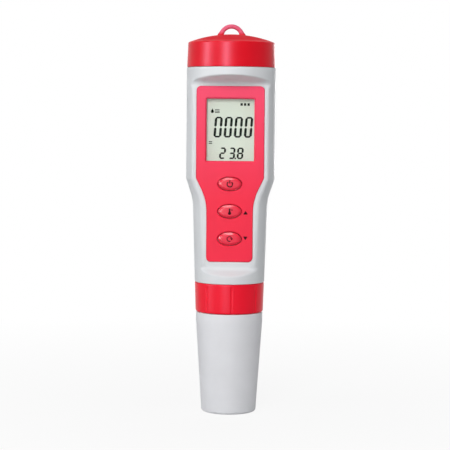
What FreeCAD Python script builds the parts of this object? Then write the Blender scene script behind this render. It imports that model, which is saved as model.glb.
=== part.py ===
import FreeCAD, Part
import math
import os

# Water quality test pen, standing upright on its protective cap.
# Millimetres, +Z up, the display faces -Y, origin at the middle of the foot.

os.makedirs("parts", exist_ok=True)
V = FreeCAD.Vector
UP = V(0, 0, 1)

# Fits and clearances
seam = 0.15              # visible joint line between cap, collar, housing and battery cap
fit = 0.05               # between pieces that are bonded or pressed together
slip = 0.2               # radial gap of a plug in its bore
free_gap = 0.3           # between pieces that move past each other
seal_gap = 0.07          # what a seal ring stands off the bore it runs in
edge_break = 0.4         # round or chamfer on a moulded edge

# Protective cap
cap_height = 48.1
cap_wall = 1.6
cap_floor = 1.8
cap_foot_r = 13.0
cap_foot_round = 1.4
cap_rim_band = 4.5
cap_side_round = 12.0
cap_floor_round = 1.0
cap_lead_in = 0.6
cap_rim_step = 0.25

# Threaded spigot under the housing and the collar nut round it
spigot_r = 13.6
spigot_wall = 1.8
spigot_length = 7.0
thread_gap = 1.0
collar_height = 14.15
collar_wall = 2.0
collar_taper = 0.45
collar_round = 0.9
collar_flange = 2.0
groove_count = 8
groove_start = 5.0
groove_r = 0.9
groove_depth = 0.28
groove_margin = 1.5

# Housing, round with a flat front
body_r = 21.1
collar_step = 0.05
waist_gain = 1.18
flare_height = 9.75
waist_round = 25.0
shoulder_round = 2.5
wall = 2.0
front_wall = 2.6
land_depth = 11.5
foot_height = 8.2
foot_scoop_r = 2.5
foot_sweep = 60.0
brow_height = 9.3
brow_scoop_r = 3.2
brow_sweep = 71.0
neck_wall = 1.9
neck_height = 8.9
counterbore = 0.6
bulkhead_rise = 3.7
bulkhead = 2.0

# Front panel, window and keys
panel_thick = 1.2
panel_proud = 0.3
panel_foot = 2.1
panel_head = 5.55
panel_top_lap = 0.4
panel_side_margin = 1.7
panel_low_margin = 1.1
panel_corner = 2.1
panel_edge = 0.35
knee_rise = 0.75
knee_round = 3.0
window_w = 23.3
window_h = 30.0
window_corner = 0.7
window_to_shoulder = 8.4
lens_thick = 0.8
lens_lap = 1.3
key_w = 10.9
key_h = 6.1
key_bevel = 1.1
key_proud = 0.9
key_land = 0.25
key_edge = 0.3
key_pitch = 12.95
key_foot = 13.05
key_to_window = 7.3
key_flange = 0.75
key_flange_thick = 0.8
key_travel = 0.6
stem_r = 1.5

# Display, board and switches
glass_lap = 1.35
glass_lap_z = 2.4
glass_thick = 2.2
pane_step = 2.6
frame_wall = 0.8
frame_set_back = 0.7
frame_corner = 1.2
frame_reveal = 0.5
strip_height = 2.2
strip_width = 2.0
strip_inset = 1.0
strip_rise = 0.4
board_thick = 1.2
board_head = 6.0
board_lift = 3.2
board_corner = 0.8
board_step_rise = 1.0
rail_lip = 1.2
rail_bite = 1.1
switch_size = 6.0
switch_thick = 1.6
switch_floor = 0.3
switch_corner = 0.5
plunger_r = 0.9
plunger_cap = 0.5
mat_web = 1.0
mat_rim = 1.0
mat_corner = 3.0
mat_to_rail = 1.4

# Chips and other parts on the back of the board
chip_size = 10.0
chip_thick = 1.4
chip_rise = 8.0
chip_bevel = 0.25
chip_leads = 8
lead_pitch = 1.0
lead_w = 0.4
lead_reach = 1.0
lead_thick = 0.3
can_r = 2.0
can_height = 2.4
can_x = 9.0
can_pitch = 6.0
can_drop = 3.0
crystal_w = 3.0
crystal_length = 8.0
crystal_thick = 1.8
crystal_x = 9.5
crystal_rise = 4.0
amplifier_w = 6.0
amplifier_h = 5.0
amplifier_thick = 1.5
small_chip_w = 1.2
small_chip_h = 2.0
small_chip_thick = 0.6
small_chip_pitch = 4.0
small_chip_columns = 4
small_chip_rows = 3

# Battery compartment
cell_r = 5.8
cell_height = 5.4
cell_count = 4
cell_step_in = 1.4
cell_step_height = 0.8
cell_edge = 0.3
spring_height = 3.7
spring_r = 3.4
spring_wire = 0.35
spring_turns = 3
tube_wall = 1.2
tube_clear = 1.8
tube_chamfer = 0.6
holder_disc = 2.0
holder_seat = 3.1
metal_thick = 0.3
strip_arm_w = 2.2
strip_leg = 5.0
strip_pad_margin = 1.0
tail_w = 2.4
tail_margin = 2.0
tail_grip = 3.0
ring_margin = 0.8
ring_clear = 0.6

# Battery cap with its lanyard loop
lid_inset = 0.1
lid_taper = 0.45
lid_height = 11.65
lid_rise = 3.9
lid_wall = 2.4
lid_thread_gap = 0.8
lid_crown = 2.2
lid_edge = 0.5
post_r = 3.6
post_drop = 0.6
dimple_half = 0.9
dimple_side = 2.0
contact_margin = 1.2
contact_lift = 0.6
gasket_thick = 1.0
loop_r = 5.2
loop_wire = 1.15
loop_rise = 14.0
loop_turn = 12.0

# Probe
plug_ring = 0.83
plug_gap = 2.0
plug_edge = 0.8
head_roof = 2.4
head_edge = 0.3
skirt_wall = 1.4
skirt_height = 4.9
cap_ring = 0.95
cap_ring_rise = 0.6
seat_edge = 0.6
sleeve_round = 1.0
seat_length = 6.9
seat_gap = 1.05
guard_wall = 1.8
guard_length = 17.5
guard_clear = 7.7
guard_inset = 2.8
guard_lap = 2.5
guard_edge = 0.5
slot_w = 3.6
slot_h = 11.0
slot_margin = 3.5
slot_count = 6
plate_thick = 3.0
glass_r = 2.6
glass_wall = 0.5
bulb_r = 3.6
bulb_clear = 5.5
stem_drop = 8.0
wire_r = 0.25
sensor_ring = 6.2
sensor_tail = 3.0
ec_pin_r = 1.0
ec_reach = 12.0
temperature_r = 1.1
temperature_reach = 13.0
junction_r = 1.4
junction_reach = 1.2
lead_r = 0.3
probe_board_gap = 0.6
pin_r = 0.45
pin_length = 5.0
pin_tail = 0.5
pin_pitch = 4.0
pin_columns = 3
socket_margin = 4.0
socket_side = 2.2
socket_rim = 1.0
socket_height = 2.9
socket_gap = 0.15
socket_lead_rise = 2.0

# Heights that follow, from the foot up
collar_z0 = cap_height + seam
collar_z1 = collar_z0 + collar_height
body_z0 = collar_z1 + seam
spigot_z0 = body_z0 - spigot_length
bulkhead_z0 = body_z0 + bulkhead_rise
bulkhead_z1 = bulkhead_z0 + bulkhead
land_z0 = body_z0 + foot_height
key_zs = [land_z0 + key_foot + key_pitch * step for step in range(3)]
window_z0 = key_zs[-1] + key_h / 2 + key_to_window
window_z1 = window_z0 + window_h
shoulder_z = window_z0 - window_to_shoulder
waist_z = shoulder_z - flare_height
panel_z0 = land_z0 + panel_foot
panel_z1 = window_z1 + panel_head
land_z1 = panel_z1 - panel_top_lap
body_z1 = land_z1 + brow_height
neck_z1 = body_z1 + neck_height
lid_z0 = body_z1 + seam
lid_z1 = lid_z0 + lid_height
lid_z2 = lid_z1 + lid_rise
band_z = cap_height - cap_rim_band

# Radii that follow, from the spigot out
spigot_bore = spigot_r - spigot_wall
plug_r = spigot_bore - slip
collar_bore = spigot_r + thread_gap
collar_top_r = collar_bore + collar_wall
collar_low_r = collar_top_r - collar_taper
body_low_r = collar_top_r + collar_step
waist_r = body_low_r + waist_gain
cap_rim_r = collar_low_r - cap_rim_step
cap_rim_bore = cap_rim_r - cap_wall
seat_r = cap_rim_bore - seat_gap
lid_low_r = body_r - lid_inset
lid_bore = lid_low_r - lid_wall
neck_r = lid_bore - lid_thread_gap
neck_bore = neck_r - neck_wall
counter_r = neck_bore + counterbore

# Depths of the front, counted out from the axis towards -Y
panel_face = land_depth + panel_proud
panel_back = panel_face - panel_thick
wall_in = land_depth - front_wall
glass_front = wall_in - slip
glass_back = glass_front - glass_thick
board_front = glass_back - strip_height
board_back = board_front - board_thick
switch_front = board_front + switch_thick
web_back = switch_front + 2 * fit
web_front = web_back + mat_web
flange_front = wall_in - 2 * fit
flange_back = flange_front - key_flange_thick
stem_end = web_front - 8 * fit

# Display and board outline
glass_half = window_w / 2 + glass_lap
glass_z0 = window_z0 - glass_lap_z
glass_z1 = window_z1 + glass_lap_z
frame_half = glass_half + fit + frame_wall
frame_z0 = glass_z0 - fit - frame_wall
frame_z1 = glass_z1 + fit + frame_wall
rail_x = frame_half + free_gap
board_half = rail_x + rail_bite
board_z0 = bulkhead_z1 + board_lift
board_z1 = frame_z1 + board_head
mat_half = key_w / 2 + key_flange + 2 * free_gap + mat_rim
mat_z0 = key_zs[0] - key_h / 2 - key_flange - 2 * free_gap - mat_rim
mat_z1 = key_zs[-1] + key_h / 2 + key_flange + free_gap + mat_rim
rail_low_x = mat_half + mat_to_rail
board_half_low = rail_low_x + rail_bite

# Battery stack
tube_bore = cell_r + slip
tube_r = tube_bore + tube_wall
cell_y = neck_bore - tube_clear - tube_r
holder_z0 = neck_z1 - holder_seat
holder_z1 = holder_z0 + holder_disc
cells_z1 = holder_z1 + metal_thick
cells_z0 = cells_z1 - cell_count * cell_height
spring_z0 = cells_z0 - spring_height
tube_z0 = spring_z0 - metal_thick - tube_wall
gasket_z0 = neck_z1 + 2 * fit
ceiling_z = gasket_z0 + gasket_thick + 2 * fit
ring_r = counter_r - slip - ring_margin
ring_bore = cell_y + tube_bore + ring_clear
ring_z1 = holder_z1 + metal_thick
tail_x1 = board_half - tail_margin
tail_x0 = tail_x1 - tail_w

# Probe heights
flange_z1 = spigot_z0 - free_gap
flange_z0 = flange_z1 - collar_flange
collar_flange_z1 = flange_z0 - free_gap
collar_flange_z0 = collar_flange_z1 - collar_flange
seat_z1 = cap_height - slip
seat_z0 = seat_z1 - seat_length
guard_z0 = cap_floor + guard_clear
sleeve_z0 = guard_z0 + guard_length
plug_z1 = bulkhead_z0 - plug_gap
head_neck_r = plug_r + free_gap
guard_r = seat_r - guard_inset
probe_bore = guard_r - guard_wall
skirt_r = probe_bore + skirt_wall
skirt_z = seat_z1 - skirt_height
plate_z0 = sleeve_z0 + guard_lap + slip
bulb_z = guard_z0 + bulb_clear + bulb_r
sensor_z1 = plate_z0 + plate_thick + sensor_tail
head_roof_z = plug_z1 - head_roof
probe_board_z0 = head_roof_z - probe_board_gap - board_thick
plug_ring_z = (flange_z1 + plug_z1) / 2
cap_ring_r = cap_rim_bore - 2 * fit
cap_ring_z = (seat_z0 + seat_z1) / 2 + cap_ring_rise
socket_half_x = pin_pitch * (pin_columns - 1) / 2 + socket_margin
socket_half_y = pin_pitch / 2 + socket_side


def rounded_wire(corners):
    """Closed wire in the XZ plane through (x, z, radius) corners."""
    ends = []
    for index, (x, z, radius) in enumerate(corners):
        here = V(x, 0, z)
        if radius == 0:
            ends.append((here, None, here))
            continue
        before = corners[index - 1]
        after = corners[(index + 1) % len(corners)]
        back = (V(before[0], 0, before[1]) - here).normalize()
        ahead = (V(after[0], 0, after[1]) - here).normalize()
        half = back.getAngle(ahead) / 2
        reach = radius / math.tan(half)
        inward = (back + ahead).normalize()
        middle = here + inward * (radius / math.sin(half) - radius)
        ends.append((here + back * reach, middle, here + ahead * reach))
    edges = []
    for index, (start, middle, stop) in enumerate(ends):
        if middle is not None:
            edges.append(Part.Arc(start, middle, stop).toShape())
        following = ends[(index + 1) % len(ends)][0]
        if stop.distanceToPoint(following) > 1e-6:
            edges.append(Part.LineSegment(stop, following).toShape())
    return Part.Wire(edges)


def revolved(corners):
    """Solid of revolution about the pen's axis from (radius, z, round) corners."""
    return Part.Face(rounded_wire(corners)).revolve(V(0, 0, 0), UP, 360)


def plate(corners, out0, out1):
    """Plate parallel to the front, between two depths."""
    face = Part.Face(rounded_wire(corners))
    face.translate(V(0, -out0, 0))
    return face.extrude(V(0, out0 - out1, 0))


def rectangle(half, z0, z1, radius):
    """Corners of an upright rounded rectangle centred on the axis."""
    return [(half, z1, radius), (half, z0, radius), (-half, z0, radius), (-half, z1, radius)]


def block(x0, x1, y0, y1, z0, z1):
    return Part.makeBox(x1 - x0, y1 - y0, z1 - z0, V(x0, y0, z0))


def rod(radius, z0, z1, x=0.0, y=0.0):
    """Upright cylinder."""
    return Part.makeCylinder(radius, z1 - z0, V(x, y, z0), UP)


def stud(radius, out0, out1, x, z):
    """Cylinder square to the front, between two depths."""
    return Part.makeCylinder(radius, out1 - out0, V(x, -out0, z), V(0, -1, 0))


def oval_wire(half_w, half_h, out, z):
    """Ellipse parallel to the front."""
    wire = Part.Wire([Part.Ellipse(V(0, 0, 0), half_w, half_h).toShape()])
    wire.rotate(V(0, 0, 0), V(1, 0, 0), 90)
    wire.translate(V(0, -out, z))
    return wire


def oval(half_w, half_h, out0, out1, z):
    """Elliptical post square to the front."""
    return Part.Face(oval_wire(half_w, half_h, out0, z)).extrude(V(0, out0 - out1, 0))


def joined(shapes):
    """One solid from several that meet."""
    return shapes[0].multiFuse(shapes[1:]).removeSplitter()


def seal_ring(section, outer_r, z):
    """Round seal with its outer edge at outer_r."""
    return Part.makeTorus(outer_r - section, section, V(0, 0, z), UP)


def ring_groove(section, outer_r, z, reach_r):
    """Square groove that holds a seal ring, open out to reach_r."""
    low = z - section - fit
    high = z + section + fit
    return rod(reach_r, low, high).cut(rod(outer_r - 2 * section - fit, low, high))


def chord(radius):
    """Half width of the flat front where the round body has this radius."""
    return math.sqrt(radius ** 2 - land_depth ** 2)


def save(name, shape):
    shape.exportStep("parts/" + name + ".step")


# Protective cap: tapered cup with a straight rim
def make_protective_cap():
    outside = revolved([
        (0, 0, 0), (cap_foot_r, 0, cap_foot_round), (cap_rim_r, band_z, cap_side_round),
        (cap_rim_r, cap_height, edge_break), (0, cap_height, 0)])
    inside = revolved([
        (0, cap_floor, 0), (cap_foot_r - cap_wall, cap_floor, cap_floor_round),
        (cap_rim_bore, band_z, cap_side_round), (cap_rim_bore, cap_height + 1, 0),
        (0, cap_height + 1, 0)])
    lead_in = Part.makeCone(
        cap_rim_bore, cap_rim_bore + cap_lead_in, cap_lead_in, V(0, 0, cap_height - cap_lead_in), UP)
    return outside.cut(inside).cut(lead_in)


# Collar nut: ring with an inner flange that lifts the probe, grip grooves outside
def make_collar():
    outside = revolved([
        (0, collar_z0, 0), (collar_low_r, collar_z0, collar_round),
        (collar_top_r, collar_z1, edge_break), (0, collar_z1, 0)])
    hole = rod(head_neck_r + free_gap, collar_z0, collar_z1)
    thread_room = rod(collar_bore, collar_flange_z1, collar_z1)
    under = rod(seat_r + 2 * free_gap, collar_z0, collar_flange_z0)
    collar = outside.cut(hole.multiFuse([thread_room, under]))
    offset = groove_r - groove_depth
    low = V(0, -(collar_low_r + offset), collar_z0)
    high = V(0, -(collar_top_r + offset), collar_z1)
    lean = high - low
    groove = Part.makeCylinder(groove_r, lean.Length - groove_margin, low, lean)
    for step in range(groove_count):
        cutter = groove.copy()
        cutter.rotate(V(0, 0, 0), UP, groove_start + 360.0 / groove_count * step)
        collar = collar.cut(cutter)
    return collar


# Housing: round barrel, flat front with a scoop above and below it
def body_profile(inset, z0):
    """Corners of the barrel, moved in from its outside by inset."""
    rise = (z0 - body_z0) / (waist_z - body_z0)
    return [
        (0, z0, 0), (body_low_r - inset + waist_gain * rise, z0, 0),
        (waist_r - inset, waist_z, waist_round + inset),
        (body_r - inset, shoulder_z, max(shoulder_round - inset, edge_break))]


def front_cutter(depth):
    """Space in front of the flat and its two scoops, moved back by depth."""
    far = 2 * body_r
    flat_y = depth - land_depth

    def scoop(radius, sweep, z, sign):
        centre_y = -land_depth - radius
        reach = radius + depth
        turn = math.radians(sweep)

        def on_arc(angle):
            return V(0, centre_y + reach * math.cos(angle), z + sign * reach * math.sin(angle))

        end = on_arc(turn)
        run = (far + end.y) / math.sin(turn)
        tip = end + V(0, -math.sin(turn), sign * math.cos(turn)) * run
        return Part.Arc(V(0, flat_y, z), on_arc(turn / 2), end), end, tip

    low_arc, low_end, low_tip = scoop(foot_scoop_r, foot_sweep, land_z0, -1)
    high_arc, high_end, high_tip = scoop(brow_scoop_r, brow_sweep, land_z1, 1)
    wire = Part.Wire([
        Part.LineSegment(low_tip, low_end).toShape(), low_arc.toShape(),
        Part.LineSegment(V(0, flat_y, land_z0), V(0, flat_y, land_z1)).toShape(),
        high_arc.toShape(), Part.LineSegment(high_end, high_tip).toShape(),
        Part.LineSegment(high_tip, low_tip).toShape()])
    face = Part.Face(wire)
    face.translate(V(-body_r - wall, 0, 0))
    return face.extrude(V(2 * (body_r + wall), 0, 0))


def panel_corners(grow):
    """Outline of the front panel, grown all round."""
    half = chord(body_r) - panel_side_margin + grow
    half_low = chord(body_low_r) - panel_low_margin + grow
    knee = shoulder_z + knee_rise
    return [
        (half, panel_z1 + grow, panel_corner + grow), (half, knee, knee_round),
        (half_low, waist_z, waist_round), (half_low, panel_z0 - grow, panel_corner + grow),
        (-half_low, panel_z0 - grow, panel_corner + grow), (-half_low, waist_z, waist_round),
        (-half, knee, knee_round), (-half, panel_z1 + grow, panel_corner + grow)]


def make_rail(low_x, z0, z1):
    """Pair of grooved rails that the board slides into."""
    blocks = []
    for side in (-1, 1):
        x0, x1 = sorted((side * low_x, side * body_r))
        y0, y1 = -board_front - rail_lip, -board_back + rail_lip
        blocks.append(block(x0, x1, y0, y1, z0, z1))
    return blocks


def board_slot():
    """Space that the board's edges take in the rails."""
    return block(
        -board_half - slip, board_half + slip, -board_front - 2 * fit, -board_back + 2 * fit,
        board_z0, neck_z1)


def make_housing():
    barrel = revolved(body_profile(0, body_z0) + [(body_r, body_z1, edge_break), (0, body_z1, 0)])
    barrel = barrel.cut(front_cutter(0))
    neck = rod(neck_r, body_z1 - wall, neck_z1)
    neck = neck.makeChamfer(edge_break, [neck.Edges[0]])
    spigot = rod(spigot_r, spigot_z0, body_z0 + wall)
    solid = joined([barrel, neck, spigot])
    roof_z = body_z1 - wall
    cone_z = roof_z - (body_r - wall - neck_bore)
    room = revolved(body_profile(wall, bulkhead_z1) + [
        (body_r - wall, cone_z, 0), (neck_bore, roof_z, 0), (neck_bore, holder_z0, 0),
        (counter_r, holder_z0, 0), (counter_r, neck_z1 + 1, 0), (0, neck_z1 + 1, 0)])
    room = room.cut(front_cutter(front_wall))
    rails = make_rail(rail_x, shoulder_z + wall, board_z1)
    rails += make_rail(rail_low_x, bulkhead_z1, waist_z)
    ribs = [rail.common(room).cut(board_slot()) for rail in rails]
    solid = solid.cut(room)
    solid = joined([solid] + ribs)
    solid = solid.cut(rod(spigot_bore, spigot_z0 - 1, bulkhead_z0))
    solid = solid.cut(block(
        -socket_half_x - fit, socket_half_x + fit, -socket_half_y - fit, socket_half_y + fit,
        bulkhead_z0 - 1, bulkhead_z1 + 1))
    recess = plate(panel_corners(2 * fit), panel_back, panel_face + 1)
    opening = plate(rectangle(window_w / 2, window_z0, window_z1, window_corner), 0, panel_face)
    lens_room = plate(lens_corners(fit), panel_back - lens_thick - fit, panel_face)
    solid = solid.cut(recess).cut(opening).cut(lens_room)
    for z in key_zs:
        hole = oval(key_w / 2 + free_gap, key_h / 2 + free_gap, 0, panel_face, z)
        solid = solid.cut(hole)
    return solid


def lens_corners(grow):
    return rectangle(
        window_w / 2 + lens_lap + grow, window_z0 - lens_lap - grow, window_z1 + lens_lap + grow,
        window_corner + lens_lap)


def make_front_panel():
    panel = plate(panel_corners(0), panel_back, panel_face)
    rim = [edge for edge in panel.Edges if abs(edge.BoundBox.YMin + panel_face) < 1e-6
           and abs(edge.BoundBox.YMax + panel_face) < 1e-6]
    panel = panel.makeFillet(panel_edge, rim)
    window = rectangle(window_w / 2, window_z0, window_z1, window_corner)
    panel = panel.cut(plate(window, 0, panel_face + 1))
    for z in key_zs:
        panel = panel.cut(oval(key_w / 2 + free_gap, key_h / 2 + free_gap, 0, panel_face + 1, z))
    return panel


def make_display_window():
    return plate(lens_corners(0), panel_back - lens_thick, panel_back)


# Display: two panes, the lower edge of the rear one carries the contacts
def make_lcd_glass():
    rear = plate(rectangle(glass_half, glass_z0, glass_z1, 0), glass_back, glass_back + glass_thick / 2)
    front = plate(
        rectangle(glass_half, glass_z0 + pane_step, glass_z1, 0), glass_back + glass_thick / 2,
        glass_front)
    return joined([rear, front])


def make_lcd_frame():
    outline = rectangle(frame_half, frame_z0, frame_z1, frame_corner)
    pocket = rectangle(glass_half + fit, glass_z0 - fit, glass_z1 + fit, 0)
    window = rectangle(
        window_w / 2 - frame_reveal, window_z0 + 2 * frame_reveal, window_z1 - frame_reveal, window_corner)
    frame = plate(outline, board_front, glass_front - frame_set_back)
    frame = frame.cut(plate(pocket, glass_back, glass_front)).cut(plate(window, 0, glass_front))
    return frame.cut(plate(strip_corners(fit, 0), board_front - 1, glass_front))


def strip_corners(grow, radius):
    """Outline of the contact strip, grown all round."""
    z0 = glass_z0 + strip_rise
    return rectangle(glass_half - strip_inset + grow, z0 - grow, z0 + strip_width + grow, radius)


def make_contact_strip():
    return plate(strip_corners(0, edge_break), board_front, glass_back)


# Keys: bevelled ovals with a retaining flange and a stem
def make_key(z):
    flange = oval(key_w / 2 + key_flange, key_h / 2 + key_flange, flange_back, flange_front, z)
    post = oval(key_w / 2, key_h / 2, flange_back, panel_face + key_land, z)
    low = oval_wire(key_w / 2, key_h / 2, panel_face + key_land, z)
    high = oval_wire(key_w / 2 - key_bevel, key_h / 2 - key_bevel, panel_face + key_proud, z)
    crown = Part.makeLoft([low, high], True, True)
    top = [edge for edge in crown.Edges if edge.BoundBox.YMax < -panel_face - key_proud + 1e-3]
    crown = crown.makeFillet(key_edge, top)
    stem = stud(stem_r, stem_end, flange_back, 0, z)
    return joined([flange, post, crown, stem])


def make_plunger(z):
    """Moving tip of a switch, pressed by the key's stem."""
    low = board_front + switch_floor + fit + key_travel
    cap = stud(plunger_r + plunger_cap, switch_front + key_travel + fit, stem_end, 0, z)
    return joined([stud(plunger_r, low, stem_end, 0, z), cap])


def make_key_switches():
    switches = []
    half = switch_size / 2
    for z in key_zs:
        case = plate(rectangle(half, z - half, z + half, switch_corner), board_front, switch_front)
        bore = stud(plunger_r + 2 * fit, board_front + switch_floor, switch_front + 1, 0, z)
        switches.append(case.cut(bore))
    return Part.makeCompound(switches)


def make_keypad_mat():
    rim = rectangle(mat_half, mat_z0, mat_z1, mat_corner)
    inner = rectangle(
        mat_half - mat_rim, mat_z0 + mat_rim, mat_z1 - mat_rim, mat_corner - mat_rim)
    mat = plate(rim, board_front + fit, wall_in - fit)
    mat = mat.cut(plate(inner, board_front - 1, wall_in + 1))
    web = plate(rim, web_back, web_front)
    for z in key_zs:
        web = web.cut(stud(stem_r + free_gap, web_back - 1, web_front + 1, 0, z))
    return joined([mat, web])


# Circuit board and what it carries
def make_circuit_board():
    step_z = shoulder_z + wall + board_step_rise
    drop = board_half - board_half_low
    corners = [
        (board_half, board_z1, board_corner), (board_half, step_z, board_corner),
        (board_half_low, step_z - drop, board_corner), (board_half_low, board_z0, board_corner)]
    mirrored = [(-x, z, radius) for x, z, radius in reversed(corners)]
    return plate(corners + mirrored, board_back, board_front)


def board_block(x, z, width, height, thick):
    """Block on the back of the board, centred at x and z."""
    back = -board_back
    return block(x - width / 2, x + width / 2, back, back + thick, z - height / 2, z + height / 2)


def rear_edges(solid):
    """Edges that lie wholly in the solid's rear face."""
    return [edge for edge in solid.Edges if edge.BoundBox.YMin > solid.BoundBox.YMax - 1e-6]


def make_microcontroller():
    z = window_z0 + chip_rise
    case = board_block(0, z, chip_size, chip_size, chip_thick)
    case = case.makeChamfer(chip_bevel, rear_edges(case))
    leads = []
    for side in (-1, 1):
        for step in range(chip_leads):
            lead_z = z + lead_pitch * (step - (chip_leads - 1) / 2)
            lead_x = side * (chip_size + lead_reach) / 2
            leads.append(board_block(lead_x, lead_z, lead_reach, lead_w, lead_thick))
    return Part.makeCompound([case] + leads)


def make_board_components():
    solids = []
    for step in range(2):
        z = glass_z1 - can_drop - can_r - can_pitch * step
        can = Part.makeCylinder(can_r, can_height, V(-can_x, -board_back, z), V(0, 1, 0))
        solids.append(can.makeFillet(edge_break, rear_edges(can)))
    crystal_z = window_z0 + crystal_rise + crystal_length / 2
    crystal = board_block(crystal_x, crystal_z, crystal_w, crystal_length, crystal_thick)
    solids.append(crystal.makeFillet(edge_break, rear_edges(crystal)))
    amplifier = board_block(0, key_zs[1], amplifier_w, amplifier_h, amplifier_thick)
    solids.append(amplifier.makeChamfer(chip_bevel, rear_edges(amplifier)))
    for column in range(small_chip_columns):
        for row in range(small_chip_rows):
            x = small_chip_pitch * (column - (small_chip_columns - 1) / 2)
            z = key_zs[0] + small_chip_pitch * (row - (small_chip_rows - 1) / 2)
            solids.append(board_block(x, z, small_chip_w, small_chip_h, small_chip_thick))
    return Part.makeCompound(solids)


# Probe socket in the bulkhead, its contacts and leads
def pin_places():
    places = []
    for column in range(pin_columns):
        for y in (-pin_pitch / 2, pin_pitch / 2):
            places.append((pin_pitch * (column - (pin_columns - 1) / 2), y))
    return places


def make_probe_socket():
    low_z = plug_z1 + socket_gap
    rim_z1 = bulkhead_z1 + socket_height
    rim_x = socket_half_x + socket_rim
    rim_y = socket_half_y + socket_rim
    core = block(-socket_half_x, socket_half_x, -socket_half_y, socket_half_y, low_z, bulkhead_z1)
    rim = block(-rim_x, rim_x, -rim_y, rim_y, bulkhead_z1, rim_z1)
    corners = [edge for edge in rim.Edges if edge.BoundBox.ZLength > socket_height / 2]
    socket = joined([core, rim.makeFillet(socket_rim, corners)])
    for x, y in pin_places():
        socket = socket.cut(rod(pin_r + 2 * fit, low_z - 1, plug_z1 + pin_length + slip, x, y))
    return socket


def make_socket_leads():
    leads = []
    low = bulkhead_z1 + socket_height
    for x, y in pin_places():
        bend_z = low + socket_lead_rise * (1 if y < 0 else 2)
        run = y + board_back
        riser = rod(lead_r, low, bend_z, x, y)
        elbow = Part.makeSphere(lead_r, V(x, y, bend_z))
        arm = Part.makeCylinder(lead_r, run, V(x, -board_back, bend_z), V(0, 1, 0))
        leads.append(joined([riser, elbow, arm]))
    return Part.makeCompound(leads)


# Battery holder: disc in the neck with an offset tube for the stack of cells
def make_battery_holder():
    disc = rod(counter_r - slip, holder_z0, holder_z1)
    tube = rod(tube_r, tube_z0, holder_z0, 0, cell_y)
    tube_foot = [edge for edge in tube.Edges if edge.BoundBox.ZMax < tube_z0 + 1e-3]
    holder = joined([disc, tube.makeChamfer(tube_chamfer, tube_foot)])
    holder = holder.cut(rod(tube_bore, tube_z0 + tube_wall, holder_z1 + 1, 0, cell_y))
    tail = block(
        tail_x0 - slip, tail_x1 + slip, -board_back - slip, -board_back + metal_thick + slip,
        holder_z0 - 1, holder_z1 + 1)
    slot_half = strip_arm_w / 2 + slip
    slot_z = spring_z0 - metal_thick
    slot = block(-slot_half, slot_half, -board_back, cell_y, slot_z, spring_z0 + 2 * fit)
    return holder.cut(tail).cut(slot)


def make_button_cells():
    cells = []
    for index in range(cell_count):
        z0 = cells_z0 + cell_height * index
        z1 = z0 + cell_height
        step_r = cell_r - cell_step_in
        step_z = z1 - cell_step_height
        cell = revolved([
            (0, z0, 0), (cell_r, z0, cell_edge), (cell_r, step_z, cell_edge), (step_r, step_z, 0),
            (step_r, z1, cell_edge), (0, z1, 0)])
        cell.translate(V(0, cell_y, 0))
        cells.append(cell)
    return Part.makeCompound(cells)


def make_contact_spring():
    rise = spring_height - 2 * spring_wire
    helix = Part.makeHelix(rise / spring_turns, rise, spring_r)
    section = Part.Wire([Part.Circle(V(spring_r, 0, 0), V(0, 1, 0), spring_wire).toShape()])
    coil = Part.Wire([helix]).makePipeShell([section], True, True)
    coil.translate(V(0, cell_y, spring_z0 + spring_wire))
    return coil


def make_negative_strip():
    """Flat contact under the spring, bent down against the board."""
    pad_z = spring_z0 - metal_thick
    half = strip_arm_w / 2
    pad = rod(spring_r + strip_pad_margin, pad_z, spring_z0, 0, cell_y)
    arm = block(-half, half, -board_back, cell_y, pad_z, spring_z0)
    leg = block(-half, half, -board_back, -board_back + metal_thick, pad_z - strip_leg, spring_z0)
    return joined([pad, arm, leg])


def make_ring_contact():
    """Ring on the holder that the battery cap closes on, with a tail to the board."""
    ring = rod(ring_r, holder_z1, ring_z1).cut(rod(ring_bore, holder_z1, ring_z1))
    tab = block(
        tail_x0, ring_bore + metal_thick, -board_back, -board_back + tail_w, holder_z1, ring_z1)
    tail = block(
        tail_x0, tail_x1, -board_back, -board_back + metal_thick, board_z1 - tail_grip, ring_z1)
    return joined([ring, tab, tail])


# Battery cap: domed screw cap with a lanyard loop, and the spring plate inside it
def dome(crown_z, edge_r, edge_z):
    """Ball whose top passes through the crown and a point on the edge."""
    rise = crown_z - edge_z
    radius = (edge_r ** 2 + rise ** 2) / (2 * rise)
    return Part.makeSphere(radius, V(0, 0, crown_z - radius))


def make_battery_cap():
    top_r = lid_low_r - lid_taper
    side = Part.makeCone(
        lid_low_r, lid_low_r - 2 * lid_taper, 2 * lid_height, V(0, 0, lid_z0), UP)
    shell = side.common(dome(lid_z2, top_r, lid_z1))
    rim = [edge for edge in shell.Edges
           if edge.BoundBox.ZLength < 1e-3 and edge.BoundBox.ZMin > lid_z0 + 1]
    shell = shell.makeFillet(lid_edge, rim)
    shell = shell.cut(rod(lid_bore, lid_z0 - 1, ceiling_z))
    hollow = dome(lid_z2 - lid_crown, top_r, lid_z1 - lid_crown).common(
        rod(neck_bore, ceiling_z - fit, lid_z2))
    post = rod(post_r, ceiling_z - post_drop, lid_z2 - lid_crown / 2)
    eye = Part.makeTorus(loop_r, loop_wire, V(0, 0, lid_z0 + loop_rise), V(0, 1, 0))
    eye.rotate(V(0, 0, 0), UP, loop_turn)
    eye = eye.cut(dome(lid_z2 - lid_crown / 2, top_r, lid_z1 - lid_crown / 2))
    return joined([shell.cut(hollow), post, eye])


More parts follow.
